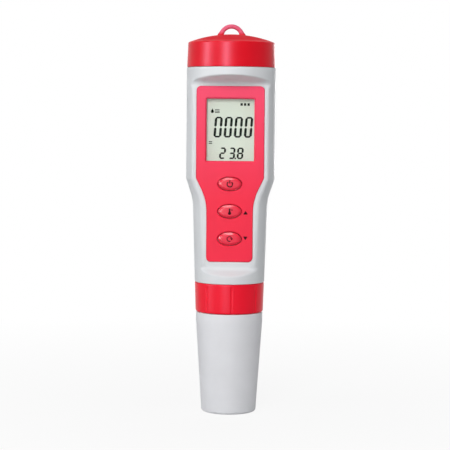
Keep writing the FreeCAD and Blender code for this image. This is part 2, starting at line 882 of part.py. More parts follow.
def make_cap_contact():
    """Spring plate whose ring-shaped dimple meets the top cell at any turn."""
    hub_z = ceiling_z - post_drop - metal_thick
    low_z = ring_z1 + 2 * fit
    rim_r = counter_r - slip - contact_margin
    inner = cell_y - dimple_half
    outer = cell_y + dimple_half
    lower = [
        (0, hub_z), (post_r + edge_break, hub_z), (inner, low_z), (outer, low_z),
        (outer + dimple_side, low_z + contact_lift), (rim_r - dimple_side, low_z + contact_lift),
        (rim_r - dimple_side / 2, low_z), (rim_r, low_z)]
    upper = [(r, z + metal_thick) for r, z in reversed(lower)]
    return revolved([(r, z, 0) for r, z in lower + upper])


def make_cap_seal():
    outer = lid_bore - 2 * fit
    seal = rod(outer, gasket_z0, gasket_z0 + gasket_thick)
    return seal.cut(rod(counter_r + fit, gasket_z0, gasket_z0 + gasket_thick))


# Probe: plug-in head, sleeve, open guard and the sensors between them
def make_probe_head():
    head = revolved([
        (0, head_roof_z, 0), (probe_bore, head_roof_z, plug_edge), (probe_bore, skirt_z, 0),
        (skirt_r, skirt_z, head_edge), (skirt_r, seat_z1, 0), (head_neck_r, seat_z1, 0),
        (head_neck_r, flange_z0, 0), (spigot_r, flange_z0, head_edge),
        (spigot_r, flange_z1, head_edge), (plug_r, flange_z1, 0), (plug_r, plug_z1, plug_edge),
        (0, plug_z1, 0)])
    groove = ring_groove(plug_ring, spigot_bore - seal_gap, plug_ring_z, plug_r + 1)
    head = head.cut(groove)
    for x, y in pin_places():
        head = head.cut(rod(pin_r + fit, head_roof_z - 1, plug_z1 + 1, x, y))
    return head


def make_probe_sleeve():
    ledge_z = skirt_z - fit
    lap_r = probe_bore + guard_wall / 2 + fit
    lap_z = sleeve_z0 + guard_lap + fit
    sleeve = revolved([
        (probe_bore, ledge_z, 0), (probe_bore, lap_z, 0), (lap_r, lap_z, 0), (lap_r, sleeve_z0, 0),
        (guard_r, sleeve_z0, 0), (guard_r, seat_z0 - guard_inset, sleeve_round),
        (seat_r, seat_z0, seat_edge), (seat_r, seat_z1, head_edge), (skirt_r + fit, seat_z1, 0),
        (skirt_r + fit, ledge_z, 0)])
    return sleeve.cut(ring_groove(cap_ring, cap_ring_r, cap_ring_z, seat_r + 1))


def make_probe_guard():
    lap_r = probe_bore + guard_wall / 2
    lap_z = sleeve_z0 + guard_lap
    guard = revolved([
        (probe_bore, guard_z0, guard_edge), (guard_r, guard_z0, guard_edge), (guard_r, sleeve_z0, 0),
        (lap_r, sleeve_z0, 0), (lap_r, lap_z, 0), (probe_bore, lap_z, 0)])
    slot_z0 = guard_z0 + slot_margin
    slot = rectangle(slot_w / 2, slot_z0, slot_z0 + slot_h, slot_w / 2 - 2 * fit)
    cutter = plate(slot, 0, guard_r + 1)
    for step in range(slot_count):
        turned = cutter.copy()
        turned.rotate(V(0, 0, 0), UP, 360.0 / slot_count * (step + 0.5))
        guard = guard.cut(turned)
    return guard


def sensor_places():
    """Centre and radius of each sensor round the glass stem."""
    return {
        "ec": [(-sensor_ring, 0, ec_pin_r), (sensor_ring, 0, ec_pin_r)],
        "temperature": [(0, sensor_ring, temperature_r)],
        "junction": [(0, -sensor_ring, junction_r)]}


def make_sensor_plate():
    disc = rod(probe_bore - fit, plate_z0, plate_z0 + plate_thick)
    disc = disc.cut(rod(glass_r + fit, plate_z0 - 1, plate_z0 + plate_thick + 1))
    for group in sensor_places().values():
        for x, y, radius in group:
            disc = disc.cut(rod(radius + fit, plate_z0 - 1, plate_z0 + plate_thick + 1, x, y))
    return disc


def make_ph_glass():
    centre = V(0, 0, bulb_z)
    top_z = probe_board_z0 - stem_drop
    outside = joined([Part.makeSphere(bulb_r, centre), rod(glass_r, bulb_z, top_z)])
    inside = joined([
        Part.makeSphere(bulb_r - glass_wall, centre), rod(glass_r - glass_wall, bulb_z, top_z + 1)])
    return outside.cut(inside)


def rounded_pin(radius, z0, z1, x, y):
    """Upright rod with a rounded lower end."""
    tip = Part.makeSphere(radius, V(x, y, z0 + radius))
    return joined([rod(radius, z0 + radius, z1, x, y), tip])


def make_sensors(kind, reach):
    low = plate_z0 - reach
    pins = [rounded_pin(radius, low, sensor_z1, x, y) for x, y, radius in sensor_places()[kind]]
    return Part.makeCompound(pins)


def make_sensor_leads():
    places = sensor_places()["ec"] + sensor_places()["temperature"]
    return Part.makeCompound([rod(lead_r, sensor_z1, probe_board_z0, x, y) for x, y, _ in places])


def make_probe_board():
    board = rod(probe_bore - slip, probe_board_z0, probe_board_z0 + board_thick)
    for x, y in pin_places():
        board = board.cut(rod(pin_r + fit, probe_board_z0 - 1, head_roof_z, x, y))
    return board


def make_plug_pins():
    pins = []
    tip_z = plug_z1 + pin_length - pin_r
    for x, y in pin_places():
        shank = rod(pin_r, probe_board_z0 - pin_tail, tip_z, x, y)
        pins.append(joined([shank, Part.makeSphere(pin_r, V(x, y, tip_z))]))
    return Part.makeCompound(pins)


save("protective_cap", make_protective_cap())
save("collar", make_collar())
save("housing", make_housing())
save("front_panel", make_front_panel())
save("display_window", make_display_window())
save("lcd_glass", make_lcd_glass())
save("lcd_frame", make_lcd_frame())
save("contact_strip", make_contact_strip())
save("keypad_mat", make_keypad_mat())
save("key_switches", make_key_switches())
save("circuit_board", make_circuit_board())
save("microcontroller", make_microcontroller())
save("board_components", make_board_components())
save("probe_socket", make_probe_socket())
save("socket_leads", make_socket_leads())
for key_name, key_z in zip(("down", "up", "power"), key_zs):
    save(key_name + "_key", make_key(key_z))
    save(key_name + "_plunger", make_plunger(key_z))
save("battery_holder", make_battery_holder())
save("button_cells", make_button_cells())
save("contact_spring", make_contact_spring())
save("negative_strip", make_negative_strip())
save("ring_contact", make_ring_contact())
save("battery_cap", make_battery_cap())
save("cap_contact", make_cap_contact())
save("cap_seal", make_cap_seal())
save("probe_head", make_probe_head())
save("plug_seal", seal_ring(plug_ring, spigot_bore - seal_gap, plug_ring_z))
save("probe_sleeve", make_probe_sleeve())
save("sleeve_seal", seal_ring(cap_ring, cap_ring_r, cap_ring_z))
save("probe_guard", make_probe_guard())
save("sensor_plate", make_sensor_plate())
save("ph_glass", make_ph_glass())
save("silver_wire", rod(wire_r, bulb_z, probe_board_z0))
save("ec_pins", make_sensors("ec", ec_reach))
save("temperature_probe", make_sensors("temperature", temperature_reach))
save("reference_junction", make_sensors("junction", junction_reach))
save("sensor_leads", make_sensor_leads())
save("probe_board", make_probe_board())
save("plug_pins", make_plug_pins())
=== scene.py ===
"""Water quality test pen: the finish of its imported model, built as small Blender operators."""

from math import asin, ceil, cos, exp, pi, radians, sin, sqrt, tan, tau

import bpy
from bpy.props import FloatProperty, FloatVectorProperty, PointerProperty
from mathutils import Matrix, Vector


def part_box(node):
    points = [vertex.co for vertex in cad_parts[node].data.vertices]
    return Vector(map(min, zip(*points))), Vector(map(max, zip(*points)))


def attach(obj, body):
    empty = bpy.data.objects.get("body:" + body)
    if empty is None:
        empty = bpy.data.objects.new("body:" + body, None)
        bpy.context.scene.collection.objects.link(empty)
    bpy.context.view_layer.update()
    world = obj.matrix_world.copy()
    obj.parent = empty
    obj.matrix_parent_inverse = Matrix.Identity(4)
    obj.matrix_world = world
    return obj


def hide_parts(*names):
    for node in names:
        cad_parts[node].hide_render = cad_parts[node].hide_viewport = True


bl_info = {
    "name": "Water quality test pen",
    "version": (1, 0, 0),
    "blender": (4, 5, 0),
    "location": "View3D > Sidebar > Test pen",
    "description": "Dresses the packed test pen with its moulded shells, display, keys and stage",
    "category": "Object",
}

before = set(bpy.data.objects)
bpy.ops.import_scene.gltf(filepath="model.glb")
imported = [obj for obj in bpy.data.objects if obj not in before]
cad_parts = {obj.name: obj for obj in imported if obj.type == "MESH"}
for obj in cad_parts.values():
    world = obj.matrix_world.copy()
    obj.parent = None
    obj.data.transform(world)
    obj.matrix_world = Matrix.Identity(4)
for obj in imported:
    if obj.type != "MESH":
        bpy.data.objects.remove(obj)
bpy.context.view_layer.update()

# Lengths in this file are millimetres until a mesh is made. The axis is x = 0, y = 0,
# depths are counted from it towards the display at -Y, and angles start there.
MM = 0.001


def box_mm(node):
    """Lowest and highest corner of a CAD node at rest."""
    low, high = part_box(node)
    return low / MM, high / MM


cap_high = box_mm("protective_cap")[1]
collar_low, collar_high = box_mm("collar")
shell_low, shell_high = box_mm("housing")
panel_low, panel_high = box_mm("front_panel")
lens_low, lens_high = box_mm("display_window")
glass_low = box_mm("lcd_glass")[0]
lid_low, lid_high = box_mm("battery_cap")
head_low = box_mm("probe_head")[0]

key_names = ("down", "up", "power")
key_boxes = [box_mm(name + "_key") for name in key_names]
key_zs = [(low.z + high.z) / 2 for low, high in key_boxes]

# Heights, radii and depths that several pieces share
seam = 0.15
body_r = shell_high.x
body_z0 = collar_high.z + seam
body_z1 = lid_low.z - seam
body_low_r = collar_high.x + 0.05
spigot_z0 = shell_low.z
neck_z1 = shell_high.z
panel_face = -panel_low.y
panel_back = -panel_high.y
lens_front = -lens_low.y
lens_back = -lens_high.y
lens_lap = 1.3
land_depth = panel_face - 0.3
land_z0 = panel_low.z - 2.1
land_z1 = panel_high.z - 0.4
shoulder_z = lens_low.z + lens_lap - 8.4
waist_z = shoulder_z - 9.75
waist_r = body_low_r + 1.18
wall = 2.0
front_wall = 2.6
spigot_r = 13.6
neck_r = body_r - 3.3
spigot_pitch, neck_pitch = 2.2, 2.4
collar_r = collar_high.x
key_flange = 0.75
key_gap = 0.3


def srgb(red, green, blue):
    """Linear colour of an 8-bit screen colour."""
    return tuple(
        c / 12.92 if c <= 0.04045 else ((c + 0.055) / 1.055) ** 2.4
        for c in (red / 255, green / 255, blue / 255))


class PenSizes(bpy.types.PropertyGroup):
    """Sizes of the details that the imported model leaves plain."""

    edge_soft: FloatProperty(
        name="Edge softness", description="Rounding of the flat front's edge", default=0.001,
        min=0.0001, unit="LENGTH")
    panel_round: FloatProperty(
        name="Panel edge", description="Rounding of the front panel's edge", default=0.00035,
        min=0.00005, unit="LENGTH")
    groove_depth: FloatProperty(
        name="Groove depth", description="Depth of the collar's grip grooves", default=0.0003,
        unit="LENGTH")
    thread_depth: FloatProperty(
        name="Thread depth", description="Height of the screw threads", default=0.0007,
        unit="LENGTH")
    mark_thick: FloatProperty(
        name="Mark thickness", description="Thickness of printed marks", default=0.00003,
        unit="LENGTH")


class PenColours(bpy.types.PropertyGroup):
    """Colours of the main finishes."""

    pale_shell: FloatVectorProperty(
        name="Pale shell", description="Housing plastic", subtype="COLOR",
        default=srgb(218, 221, 224))
    pale_cap: FloatVectorProperty(
        name="Pale cap", description="Protective cap plastic", subtype="COLOR",
        default=srgb(226, 227, 231))
    red_shell: FloatVectorProperty(
        name="Red shell", description="Collar and battery cap plastic", subtype="COLOR",
        default=srgb(223, 15, 32))
    red_panel: FloatVectorProperty(
        name="Red panel", description="Front panel and keys", subtype="COLOR",
        default=srgb(248, 41, 71))
    display: FloatVectorProperty(
        name="Display ground", description="Lit ground of the display", subtype="COLOR",
        default=srgb(218, 230, 214))
    digit: FloatVectorProperty(
        name="Display digit", description="Dark segments of the display", subtype="COLOR",
        default=srgb(12, 20, 14))


class PenStage(bpy.types.PropertyGroup):
    """Camera and lights."""

    distance: FloatProperty(
        name="Camera distance", description="From the pen's axis to the camera", default=0.78,
        unit="LENGTH")
    height: FloatProperty(
        name="Camera height", description="Height of the camera over the floor", default=0.14486,
        unit="LENGTH")
    aim: FloatProperty(
        name="Aim height", description="Height on the axis at the middle of the image",
        default=0.0895, unit="LENGTH")
    front_level: FloatProperty(
        name="Front light", description="Share of full light from the wide lamp over the camera",
        default=0.5, min=0.0)
    strip_level: FloatProperty(
        name="Strip light", description="Strength of the narrow lamps that only make highlights",
        default=1.25, min=0.0)
    left_level: FloatProperty(
        name="Left light", description="Share of full light from the lamp on the left",
        default=0.22, min=0.0)
    high_level: FloatProperty(
        name="High light", description="Share of full light from the small lamp up in front",
        default=0.11, min=0.0)
    back_level: FloatProperty(
        name="Back light", description="Share of full light from the lamp behind", default=0.3,
        min=0.0)
    room_level: FloatProperty(
        name="Room light", description="Share of full light from all round", default=0.22, min=0.0)


# Outlines and meshes
def rounded(corners, closed=True, chords=6):
    """Points through (a, b, radius) corners, each corner turned on an arc."""
    points = []
    count = len(corners)
    for index, (a, b, radius) in enumerate(corners):
        here = Vector((a, b))
        if radius == 0 or (not closed and index in (0, count - 1)):
            points.append(here)
            continue
        back = (Vector(corners[index - 1][:2]) - here).normalized()
        ahead = (Vector(corners[(index + 1) % count][:2]) - here).normalized()
        half = back.angle(ahead) / 2
        reach = radius / tan(half)
        centre = here + (back + ahead).normalized() * radius / sin(half)
        start = here + back * reach - centre
        turn = pi - 2 * half
        if back.cross(ahead) > 0:
            turn = -turn
        for step in range(chords + 1):
            points.append(centre + Matrix.Rotation(turn * step / chords, 2) @ start)
    return points


def divided(points, spacing):
    """Open outline with no stretch longer than spacing."""
    result = [points[0]]
    for start, stop in zip(points, points[1:]):
        parts = max(1, ceil((stop - start).length / spacing))
        result += [start.lerp(stop, step / parts) for step in range(1, parts + 1)]
    return result


def rectangle(half, z0, z1, radius):
    """Corners of an upright rounded rectangle centred on the axis."""
    return [(half, z1, radius), (half, z0, radius), (-half, z0, radius), (-half, z1, radius)]


def even_angles(count):
    return [tau * step / count for step in range(count)]


def ellipse(half_w, half_h, z, count=64):
    """Outline of an oval in the front's plane."""
    return [Vector((half_w * cos(a), z + half_h * sin(a))) for a in even_angles(count)]


def lathe(rows, angles, radius_at=None):
    """Mesh turned about the axis from a closed list of (radius, z) rows."""
    verts, rings = [], []
    for row in rows:
        radius, z = row[0], row[1]
        if radius < 1e-6:
            rings.append([len(verts)])
            verts.append((0, 0, z * MM))
            continue
        ring = []
        for angle in angles:
            r = radius_at(row, angle) if radius_at else radius
            ring.append(len(verts))
            verts.append((r * sin(angle) * MM, -r * cos(angle) * MM, z * MM))
        rings.append(ring)
    faces = []
    count = len(angles)
    closed = len(rings[0]) > 1 or len(rings[-1]) > 1
    pairs = list(zip(rings, rings[1:]))
    if closed:
        pairs.append((rings[-1], rings[0]))
    for low, high in pairs:
        if len(low) == len(high) == 1:
            continue
        for step in range(count):
            after = (step + 1) % count
            corners = (low[step % len(low)], low[after % len(low)],
                       high[after % len(high)], high[step % len(high)])
            faces.append(tuple(dict.fromkeys(corners)))
    return mesh_of(verts, faces)


def mesh_of(verts, faces):
    mesh = bpy.data.meshes.new("shape")
    mesh.from_pydata(verts, [], faces)
    mesh.validate()
    mesh.update()
    return mesh


def new_object(name, data):
    """Object for a mesh, curve, lamp or camera, in the scene."""
    made = bpy.data.objects.new(name, data)
    bpy.context.scene.collection.objects.link(made)
    return made


def prism(outlines, out0, out1):
    """Closed plates between two depths, one for each outline in the front's plane."""
    verts, faces = [], []
    for outline in outlines:
        first = len(verts)
        count = len(outline)
        for out in (out0, out1):
            verts += [(x * MM, -out * MM, z * MM) for x, z in outline]
        area = sum(a.x * b.y - b.x * a.y for a, b in zip(outline, outline[1:] + outline[:1]))
        near = tuple(range(first + count, first + 2 * count))
        far = tuple(range(first + count - 1, first - 1, -1))
        walls = [
            (first + step, first + (step + 1) % count, first + count + (step + 1) % count,
             first + count + step) for step in range(count)]
        if area < 0:
            near, far = near[::-1], far[::-1]
            walls = [side[::-1] for side in walls]
        faces += [near, far] + walls
    return mesh_of(verts, faces)


def bevelled_plate(outlines, out0, out1, bevel):
    """Plate with holes between two depths, its edges rounded, from a filled curve."""
    curve = bpy.data.curves.new("plate", "CURVE")
    curve.dimensions = "2D"
    curve.fill_mode = "BOTH"
    curve.extrude = ((out1 - out0) / 2 - bevel) * MM
    curve.bevel_depth = bevel * MM
    curve.bevel_resolution = 3
    curve.offset = -bevel * MM
    for outline in outlines:
        spline = curve.splines.new("POLY")
        spline.points.add(len(outline) - 1)
        for point, (x, z) in zip(spline.points, outline):
            point.co = (x * MM, z * MM, 0, 1)
        spline.use_cyclic_u = True
    holder = new_object("plate", curve)
    bpy.context.view_layer.update()
    depsgraph = bpy.context.evaluated_depsgraph_get()
    mesh = bpy.data.meshes.new_from_object(holder.evaluated_get(depsgraph))
    bpy.data.objects.remove(holder)
    bpy.data.curves.remove(curve)
    mesh.transform(
        Matrix.Translation((0, -(out0 + out1) / 2 * MM, 0)) @ Matrix.Rotation(pi / 2, 4, "X"))
    return mesh


def swept(sections, closed=False):
    """Mesh through rings of points, capped at both ends or closed on itself."""
    verts = [tuple(point * MM) for ring in sections for point in ring]
    count = len(sections[0])
    rows = len(sections)
    faces = []
    for row in range(rows if closed else rows - 1):
        here, above = row * count, (row + 1) % rows * count
        for step in range(count):
            after = (step + 1) % count
            faces.append((here + step, here + after, above + after, above + step))
    if not closed:
        faces.append(tuple(range(count - 1, -1, -1)))
        faces.append(tuple(range((rows - 1) * count, rows * count)))
    return mesh_of(verts, faces)


def carve(mesh, cutters, operation="DIFFERENCE"):
    """Mesh with each cutter taken out of it, or joined to it."""
    holder = new_object("blank", mesh)
    tools = []
    for cutter in cutters:
        tool = new_object("cutter", cutter)
        modifier = holder.modifiers.new("carve", "BOOLEAN")
        modifier.operation = operation
        modifier.solver = "EXACT"
        modifier.object = tool
        tools.append(tool)
    bpy.context.view_layer.update()
    depsgraph = bpy.context.evaluated_depsgraph_get()
    result = bpy.data.meshes.new_from_object(holder.evaluated_get(depsgraph))
    for thing in [holder] + tools:
        bpy.data.objects.remove(thing)
    return result


def place(name, mesh, body, slot, replaces=(), finish=None, sharp=35.0):
    """Object for a mesh, smooth up to the sharp angle, riding on its body."""
    mesh.name = name
    mesh.materials.clear()
    mesh.materials.append(finishes[finish or slot])
    mesh.shade_smooth()
    mesh.set_sharp_from_angle(angle=radians(sharp))
    piece = new_object(name, mesh)
    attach(piece, body)
    if replaces:
        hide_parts(*replaces)


# Finishes
seen_rays = ("Is Camera Ray", "Is Glossy Ray", "Is Transmission Ray")


def rays(tree, *kinds):
    """1 for the named kinds of ray, 0 for the rest."""
    paths = tree.nodes.new("ShaderNodeLightPath")
    result = paths.outputs[kinds[0]]
    for kind in kinds[1:]:
        either = tree.nodes.new("ShaderNodeMath")
        either.operation = "MAXIMUM"
        tree.links.new(result, either.inputs[0])
        tree.links.new(paths.outputs[kind], either.inputs[1])
        result = either.outputs["Value"]
    return result


class Finish:
    """Material under construction: its shader and a few ways to vary it."""

    def __init__(self, name, colour, roughness, **sockets):
        self.material = bpy.data.materials.new(name)
        self.material.use_nodes = True
        self.nodes = self.material.node_tree.nodes
        self.links = self.material.node_tree.links
        self.shader = self.nodes["Principled BSDF"]
        self.shader.inputs["Base Color"].default_value = (*colour, 1)
        self.shader.inputs["Roughness"].default_value = roughness
        self.material.diffuse_color = (*colour, 1)
        for socket, value in sockets.items():
            self.shader.inputs[socket.replace("_", " ")].default_value = value
        self.place = self.nodes.new("ShaderNodeTexCoord").outputs["Object"]

    def cloud(self, size, detail=3.0, stretch=(1, 1, 1)):
        """Soft noise whose lumps are about size millimetres across."""
        mapping = self.nodes.new("ShaderNodeMapping")
        mapping.inputs["Scale"].default_value = stretch
        texture = self.nodes.new("ShaderNodeTexNoise")
        texture.inputs["Scale"].default_value = 1 / (size * MM)
        texture.inputs["Detail"].default_value = detail
        self.links.new(self.place, mapping.inputs["Vector"])
        self.links.new(mapping.outputs["Vector"], texture.inputs["Vector"])
        return texture.outputs["Fac"]

    def cells(self, size):
        """Grains of about size millimetres."""
        texture = self.nodes.new("ShaderNodeTexVoronoi")
        texture.inputs["Scale"].default_value = 1 / (size * MM)
        self.links.new(self.place, texture.inputs["Vector"])
        return texture.outputs["Distance"]

    def noise(self, kind):
        """Clouds with the given settings, or grains of the one size given."""
        return self.cloud(*kind) if isinstance(kind, tuple) else self.cells(kind)

    def along(self, axis):
        """Place along the frame's X, Y or Z, in metres."""
        parts = self.nodes.new("ShaderNodeSeparateXYZ")
        self.links.new(self.place, parts.inputs["Vector"])
        return parts.outputs[axis]

    def ranged(self, factor, low, high, start=0.3, stop=0.7):
        ramp = self.nodes.new("ShaderNodeMapRange")
        ends = {"From Min": start, "From Max": stop, "To Min": low, "To Max": high}
        for name, value in ends.items():
            ramp.inputs[name].default_value = value
        self.links.new(factor, ramp.inputs["Value"])
        return ramp.outputs["Result"]

    def vary_roughness(self, factor, low, high):
        self.links.new(self.ranged(factor, low, high), self.shader.inputs["Roughness"])

    def vary_colour(self, factor, other, start=0.3, stop=0.7):
        mix = self.nodes.new("ShaderNodeMix")
        mix.data_type = "RGBA"
        base = self.shader.inputs["Base Color"]
        if base.is_linked:
            self.links.new(base.links[0].from_socket, mix.inputs["A"])
        else:
            mix.inputs["A"].default_value = base.default_value
        mix.inputs["B"].default_value = (*other, 1)
        self.links.new(self.ranged(factor, 0, 1, start, stop), mix.inputs["Factor"])
        self.links.new(mix.outputs["Result"], base)

    def blend(self, factor, other):
        """Mix another shader over the finish."""
        mix = self.nodes.new("ShaderNodeMixShader")
        self.links.new(factor, mix.inputs["Fac"])
        self.links.new(self.shader.outputs["BSDF"], mix.inputs[1])
        self.links.new(other.outputs[0], mix.inputs[2])
        self.links.new(mix.outputs["Shader"], self.nodes["Material Output"].inputs["Surface"])

    def let_light_through(self):
        """Clear glass that lights what is behind it."""
        clear = self.nodes.new("ShaderNodeBsdfTransparent")
        self.blend(rays(self.material.node_tree, "Is Shadow Ray", "Is Diffuse Ray"), clear)

    def bump(self, factor, height, strength=1.0):
        """Relief of height millimetres."""
        bump = self.nodes.new("ShaderNodeBump")
        bump.inputs["Distance"].default_value = height * MM
        bump.inputs["Strength"].default_value = strength
        self.links.new(factor, bump.inputs["Height"])
        self.links.new(bump.outputs["Normal"], self.shader.inputs["Normal"])


def chosen(name):
    """Colour that the named setting holds."""
    return tuple(getattr(bpy.context.scene.pen_colours, name))


def shade(colour, factor):
    return tuple(min(1, c * factor) for c in colour)


def red_shell_finish():
    """Red of the collar and the battery cap, glossy round the side and matt on the dome, with
    painted light making the lanyard loop paler pink.
    """
    colour = chosen("red_shell")
    finish = Finish(
        "red_shell_gloss", colour, 0.34, Specular_IOR_Level=0.16, Specular_Tint=(1, 0.72, 1, 1))
    finish.vary_colour(finish.cloud(9, 2), shade(colour, 0.95))
    dome_z = lid_low.z + 11.6
    height = finish.along("Z")
    loop_z = dome_z + 3.8
    # Painted light: the loop turns paler pink, as if light showed through its thin plastic
    finish.vary_colour(height, srgb(232, 104, 132), loop_z * MM, (loop_z + 1.5) * MM)
    finish.vary_colour(height, srgb(242, 22, 44), waist_z * MM, 0.8 * waist_z * MM)
    finish.links.new(
        finish.ranged(height, 0.34, 0.7, dome_z * MM, (dome_z + 1.2) * MM),
        finish.shader.inputs["Roughness"])
    finish.bump(finish.cloud(0.9, 2), 0.002, 0.15)
    return finish.material


def red_panel_finish():
    """Front panel and keys, a little lighter and softer in gloss, with a painted sheen that turns
    the red pinker towards the top.
    """
    colour = chosen("red_panel")
    finish = Finish("red_panel_satin", colour, 0.44, Specular_IOR_Level=0.07)
    finish.vary_colour(finish.cloud(12, 2), shade(colour, 0.95))
    # Painted sheen: pinker and lighter towards the top, where the lamps' reflection falls
    finish.vary_colour(
        finish.along("Z"), srgb(245, 75, 111), waist_z * MM, (panel_high.z + 8) * MM)
    finish.vary_roughness(finish.cloud(1.8), 0.36, 0.45)
    finish.bump(finish.cloud(0.18, 2), 0.004, 0.3)
    return finish.material


def key_finish():
    """Keys in the panel's red, polished by fingers."""
    colour = chosen("red_panel")
    finish = Finish("key_polished", shade(colour, 0.9), 0.2, Specular_IOR_Level=0.22)
    finish.vary_colour(finish.cloud(5, 2), shade(colour, 0.88))
    finish.vary_roughness(finish.cloud(1.5), 0.17, 0.25)
    finish.bump(finish.cloud(0.3, 2), 0.002, 0.2)
    return finish.material


def clear_window_finish():
    """Thin clear plate with a breath of waviness."""
    finish = Finish(
        "clear_window_polished", (0.1, 0.11, 0.105), 0.03, Specular_IOR_Level=1.0, Alpha=0.03)
    finish.vary_colour(finish.cloud(9, 1), (0.085, 0.1, 0.09))
    finish.vary_roughness(finish.cloud(3), 0.02, 0.05)
    finish.bump(finish.cloud(9, 1), 0.01, 0.1)
    return finish.material


def display_glass_finish():
    """Pale grey-green reflective display under its polariser, with a painted shadow along the
    window's left edge.
    """
    colour = chosen("display")
    finish = Finish("display_ground", colour, 0.45, Specular_IOR_Level=0.25)
    finish.vary_colour(finish.cloud(16, 1), shade(colour, 0.95))
    left = lens_low.x
    # Painted shadow: the ground darkens towards the window's left edge, as the rim's shade would
    finish.vary_colour(finish.along("X"), shade(colour, 0.18), (left + 1.7) * MM, (left - 0.2) * MM)
    finish.vary_roughness(finish.cloud(0.3), 0.4, 0.5)
    finish.bump(finish.cloud(0.12, 1), 0.002, 0.3)
    return finish.material


def digit_finish():
    """Dark liquid crystal segments, faintly green where they thin out."""
    colour = chosen("digit")
    finish = Finish("display_segment", colour, 0.5, Specular_IOR_Level=0.03)
    finish.vary_colour(finish.cloud(1.5, 1), (0.014, 0.022, 0.015))
    finish.vary_roughness(finish.cloud(0.4), 0.4, 0.5)
    return finish.material


def probe_glass_finish():
    """Thin clear glass of the stem and bulb."""
    finish = Finish("probe_glass", (0.96, 0.99, 0.985), 0.02, IOR=1.5, Transmission_Weight=1.0)
    finish.vary_roughness(finish.cloud(2), 0.01, 0.05)
    finish.bump(finish.cloud(4, 1), 0.01, 0.1)
    finish.let_light_through()
    return finish.material


def plain_finish(name, colour, roughness, sockets, tint, rough, relief=None):
    """Finish from a row of plain_rows."""
    colour = chosen(colour) if isinstance(colour, str) else srgb(*colour)
    finish = Finish(name, colour, roughness, **sockets)
    noise, other, *ends = tint
    other = srgb(*other) if isinstance(other, tuple) else shade(colour, other)
    finish.vary_colour(finish.noise(noise), other, *ends)
    finish.vary_roughness(finish.noise(rough[0]), *rough[1:])
    if relief:
        finish.bump(finish.noise(relief[0]), *relief[1:])
    return finish.material


# Finishes by slot. Each row has a name, a colour or its setting, roughness and sockets, then the
# noise and what it does for the colour (another one, or a share of it), roughness and relief.
plain_rows = {
    # Satin moulded housing with a fine spark-eroded grain
    "pale_shell": (
        "pale_shell_satin", "pale_shell", 0.5, {"Specular_IOR_Level": 0.12},
        ((14, 2), 0.97), ((2.5,), 0.42, 0.52), ((0.22, 2), 0.006, 0.35)),
    # Smoother cap plastic with faint draw marks along its side
    "pale_cap": (
        "pale_cap_smooth", "pale_cap", 0.5, {"Specular_IOR_Level": 0.12}, ((10, 2), 0.965),
        ((1.2, 3, (6, 6, 0.4)), 0.44, 0.56), ((0.8, 2, (4, 4, 0.2)), 0.004, 0.3)),
    # Dark printed marks, a little rough at their edges
    "print": (
        "print_dark", (34, 5, 11), 0.6, {"Specular_IOR_Level": 0.03},
        ((0.4,), (52, 9, 18)), ((0.2,), 0.5, 0.62)),
    # Black glass-filled plastic of the inner frames and sockets
    "dark_plastic": (
        "dark_plastic", (34, 35, 38), 0.5, {"IOR": 1.55},
        ((0.5,), (48, 49, 52)), ((1.0,), 0.42, 0.6), ((0.15, 2), 0.008, 0.5)),
    # Matt grey keypad rubber
    "silicone_rubber": (
        "silicone_grey", (190, 192, 194), 0.62, {"IOR": 1.43, "Sheen_Weight": 0.15},
        ((5,), (176, 178, 181)), ((0.7,), 0.55, 0.72), ((0.3,), 0.01, 0.4)),
    # Black nitrile of the seal rings and gasket
    "seal_rubber": (
        "seal_black", (26, 26, 27), 0.45, {"IOR": 1.52, "Sheen_Weight": 0.1},
        ((1.2,), (38, 38, 40)), ((0.5,), 0.35, 0.58), ((0.2,), 0.006, 0.4)),
    # Green solder resist with faint tracks under it
    "board_green": (
        "board_green", (22, 92, 52), 0.35, {"IOR": 1.5, "Coat_Weight": 0.3},
        (1.3, (40, 122, 70), 0.42, 0.5), ((0.6,), 0.3, 0.45), (1.3, 0.02, 0.4)),
    # Dull tinned cans and moulded chips
    "component_metal": (
        "component_grey", (96, 98, 102), 0.42, {"Metallic": 0.6},
        ((1.4,), (70, 72, 76)), ((0.4,), 0.34, 0.55), ((0.1,), 0.004, 0.4)),
    # Nickel-plated spring metal with rolling marks
    "contact_metal": (
        "contact_nickel", (206, 198, 178), 0.26, {"Metallic": 1.0}, ((2.5,), (186, 180, 164)),
        ((0.5, 3, (1, 1, 8)), 0.2, 0.38), ((0.2, 2, (1, 1, 6)), 0.003, 0.4)),
    # Stainless steel, brushed round
    "steel": (
        "steel_brushed", (196, 198, 200), 0.24, {"Metallic": 1.0}, ((2,), (178, 180, 184)),
        ((0.3, 3, (1, 1, 10)), 0.18, 0.34), ((0.15, 2, (1, 1, 12)), 0.003, 0.5)),
    # Charcoal probe plastic with a fine grain
    "probe_plastic": (
        "probe_charcoal", (52, 54, 58), 0.4, {"IOR": 1.53},
        ((6,), (62, 64, 69)), ((1.4,), 0.34, 0.5), ((0.2, 2), 0.006, 0.4)),
    # White sintered junction
    "porous_white": (
        "porous_white", (232, 230, 224), 0.8, {},
        (0.25, (206, 202, 194), 0.1, 0.5), ((0.3,), 0.7, 0.92), (0.25, 0.03, 0.8))}

makers = {
    "red_shell": red_shell_finish, "red_panel": red_panel_finish, "key": key_finish,
    "clear_window": clear_window_finish, "display_glass": display_glass_finish,
    "digit": digit_finish, "probe_glass": probe_glass_finish}
finishes = {}


class PEN_OT_finishes(bpy.types.Operator):
    """Make every finish and put it on the CAD nodes that have its slot"""

    bl_idname = "pen.finishes"
    bl_label = "Finishes"

    def execute(self, context):
        for slot, make in makers.items():
            finishes[slot] = make()
        for slot, row in plain_rows.items():
            finishes[slot] = plain_finish(*row)
        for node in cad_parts.values():
            for material_slot in node.material_slots:
                material_slot.material = finishes[material_slot.material.name.split(".")[0]]
        return {"FINISHED"}


